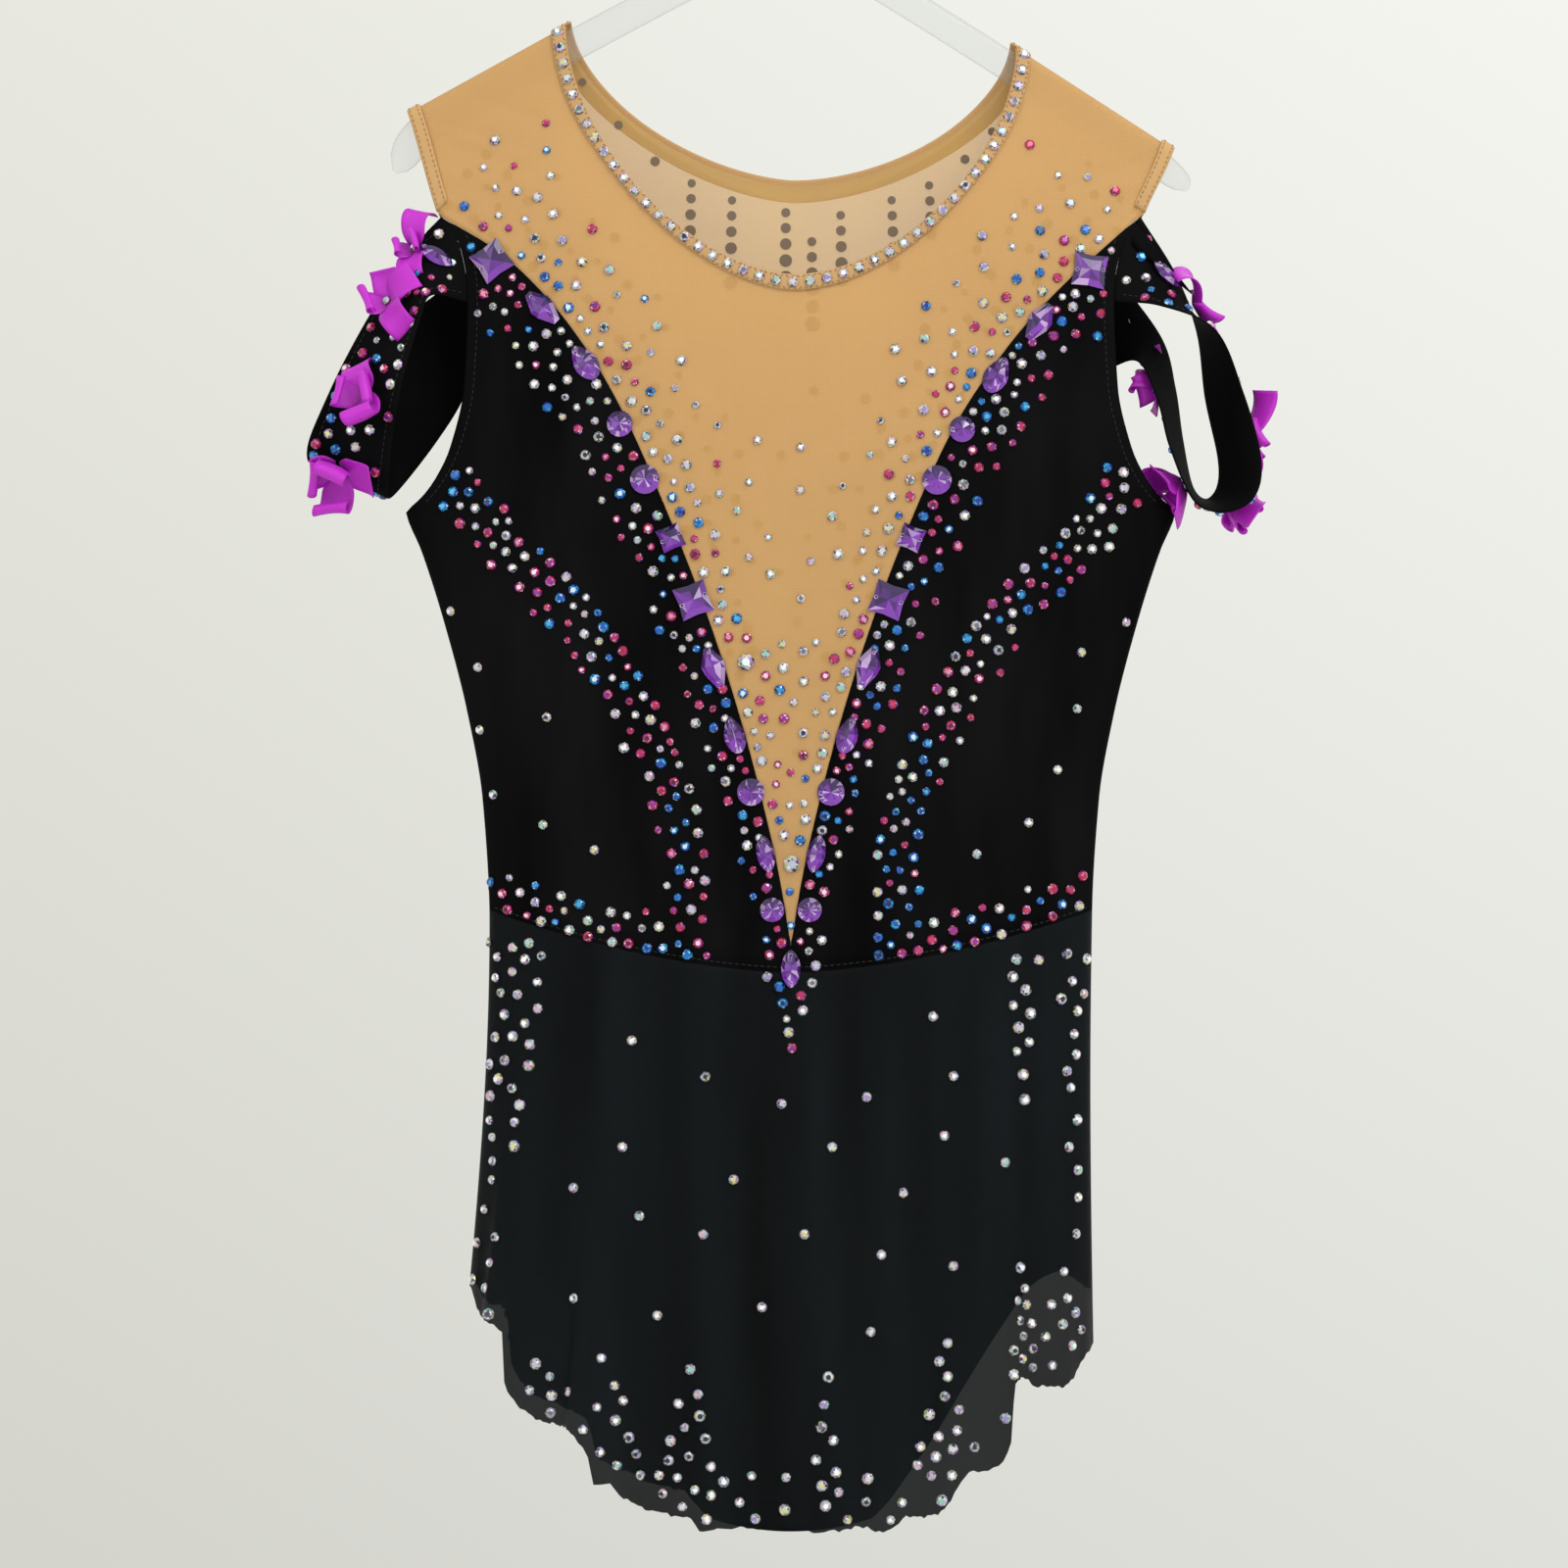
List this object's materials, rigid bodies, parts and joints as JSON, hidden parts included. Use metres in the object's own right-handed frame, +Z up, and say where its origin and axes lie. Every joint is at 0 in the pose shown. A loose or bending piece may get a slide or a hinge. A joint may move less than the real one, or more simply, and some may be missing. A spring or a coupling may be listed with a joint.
{
  "type": "rhythmic gymnastics leotard on a clear hanger",
  "caption": "Rhythmic gymnastics leotard with a nude mesh V yoke, sheer skirt and off-shoulder flower bands, hung on a clear hanger.",
  "frame": {"origin": "inner top of the hanger's hook, where a rail carries it", "axes": "+Z up, the front of the garment faces -Y, +X to the right seen from the front"},
  "size_m": [0.4463, 0.0691, 0.8334],
  "materials": {
    "nude_mesh": "fine power mesh, two layers, matt",
    "nude_binding": "folded elastic binding, coverstitched",
    "black_lycra": "stretch knit, soft sheen",
    "black_sheer_mesh": "sheer stretch mesh",
    "violet_stone": "faceted crystal with two sewing holes",
    "magenta_ribbon": "satin ribbon",
    "clear_plastic": "clear, glossy",
    "polished_metal": "polished wire"
  },
  "bodies": {
    "root": {"front_yoke": "nude_mesh", "back_yoke": "nude_mesh", "neck_binding_front": "nude_binding", "neck_binding_back": "nude_binding", "armhole_binding_left": "nude_binding", "armhole_binding_right": "nude_binding", "front_bodice_left": "black_lycra", "front_bodice_right": "black_lycra", "back_bodice_left": "black_lycra", "back_bodice_right": "black_lycra", "brief_front": "black_lycra", "brief_back": "black_lycra", "gusset": "black_lycra", "arm_band_left": "black_lycra", "arm_band_right": "black_lycra", "skirt_front": "black_sheer_mesh", "skirt_back": "black_sheer_mesh", "stone_middle": "violet_stone", "stone_left_00": "violet_stone", "stone_left_01": "violet_stone", "stone_left_02": "violet_stone", "stone_left_03": "violet_stone", "stone_left_04": "violet_stone", "stone_left_05": "violet_stone", "stone_left_06": "violet_stone", "stone_left_07": "violet_stone", "stone_left_08": "violet_stone", "stone_left_09": "violet_stone", "stone_left_10": "violet_stone", "stone_left_11": "violet_stone", "stone_left_12": "violet_stone", "stone_right_00": "violet_stone", "stone_right_01": "violet_stone", "stone_right_02": "violet_stone", "stone_right_03": "violet_stone", "stone_right_04": "violet_stone", "stone_right_05": "violet_stone", "stone_right_06": "violet_stone", "stone_right_07": "violet_stone", "stone_right_08": "violet_stone", "stone_right_09": "violet_stone", "stone_right_10": "violet_stone", "stone_right_11": "violet_stone", "stone_right_12": "violet_stone", "flower_left_1": "magenta_ribbon", "flower_left_2": "magenta_ribbon", "flower_left_3": "magenta_ribbon", "flower_left_4": "magenta_ribbon", "flower_left_5": "magenta_ribbon", "flower_right_1": "magenta_ribbon", "flower_right_2": "magenta_ribbon", "flower_right_3": "magenta_ribbon", "flower_right_4": "magenta_ribbon", "flower_right_5": "magenta_ribbon", "hanger_arms": "clear_plastic", "hanger_hook": "polished_metal"}
  },
  "joints": []
}
